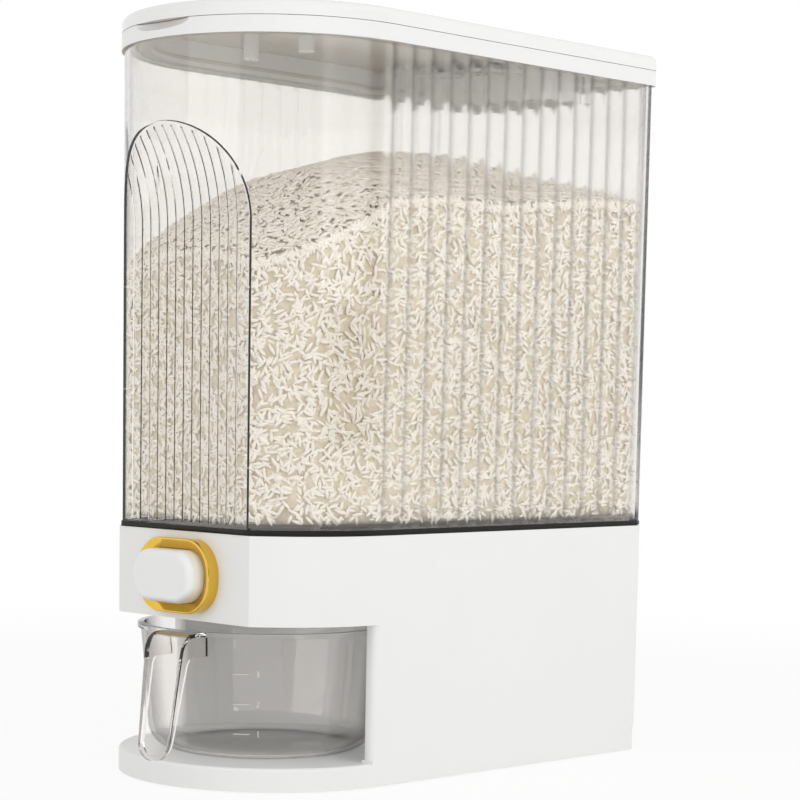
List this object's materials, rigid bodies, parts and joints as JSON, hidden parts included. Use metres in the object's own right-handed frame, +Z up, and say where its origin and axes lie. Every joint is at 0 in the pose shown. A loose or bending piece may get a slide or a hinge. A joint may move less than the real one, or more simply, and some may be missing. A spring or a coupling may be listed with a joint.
{
  "type": "rice dispenser",
  "caption": "Tall rice dispenser: clear fluted hopper with hinged lid and desiccant box, push button, sliding gate and a clear cup in the alcove below.",
  "frame": {"origin": "centre of the footprint's box, on the plane that the rubber feet stand on", "axes": "+Z up, -Y towards the round nose with the button and the cup, +X to the right of someone who faces the back"},
  "size_m": [0.1798, 0.3272, 0.415],
  "materials": {
    "white_plastic": "satin white moulding",
    "lid_plastic": "satin white moulding",
    "funnel_plastic": "satin white moulding",
    "button_plastic": "glossy white moulding",
    "gate_plastic": "natural moulding",
    "box_plastic": "satin moulding",
    "hopper_clear": "clear polished moulding",
    "cup_clear": "clear polished moulding",
    "bezel_metal": "polished gold-toned plating",
    "seal_rubber": "matt moulded",
    "gasket_rubber": "matt moulded silicone",
    "foot_rubber": "matt moulded",
    "screw_steel": "zinc plated"
  },
  "bodies": {
    "body": {"base_tray": "white_plastic", "rubber_feet": "foot_rubber", "base_screws": "screw_steel", "housing": "white_plastic", "funnel": "funnel_plastic", "gate_guide": "gate_plastic", "guide_screws": "screw_steel", "return_spring": "screw_steel", "button_bezel": "bezel_metal", "hopper": "hopper_clear", "hopper_seal": "seal_rubber", "lid_collar": "white_plastic", "lid_gasket": "gasket_rubber", "hinge_pins": "screw_steel"},
    "button": {"button_cap": "button_plastic", "push_plate": "gate_plastic", "gate_slider": "gate_plastic", "plate_screws": "screw_steel"},
    "lid": {"lid_cover": "lid_plastic"},
    "desiccant": {"desiccant_box": "box_plastic", "desiccant_grille": "box_plastic", "desiccant_pull": "box_plastic"},
    "cup": {"cup": "cup_clear"}
  },
  "joints": [
    {"name": "lid_hinge", "type": "hinge", "parent": "body", "child": "lid", "pos_m": [0, 0.15618, 0.40595], "axis": [-1, 0, 0], "range_deg": [0, 100]},
    {"name": "desiccant_slide", "type": "slide", "parent": "lid", "child": "desiccant", "axis": [0, -1, 0], "range_m": [0, 0.04]},
    {"name": "button_push", "type": "slide", "parent": "body", "child": "button", "axis": [0, 1, 0], "range_m": [0, 0.013], "stiffness_N_per_m": 300, "springref_m": -0.01, "deforming": ["return_spring"]},
    {"name": "cup_slide", "type": "slide", "parent": "body", "child": "cup", "axis": [0, -1, 0], "range_m": [0, 0.18]}
  ]
}
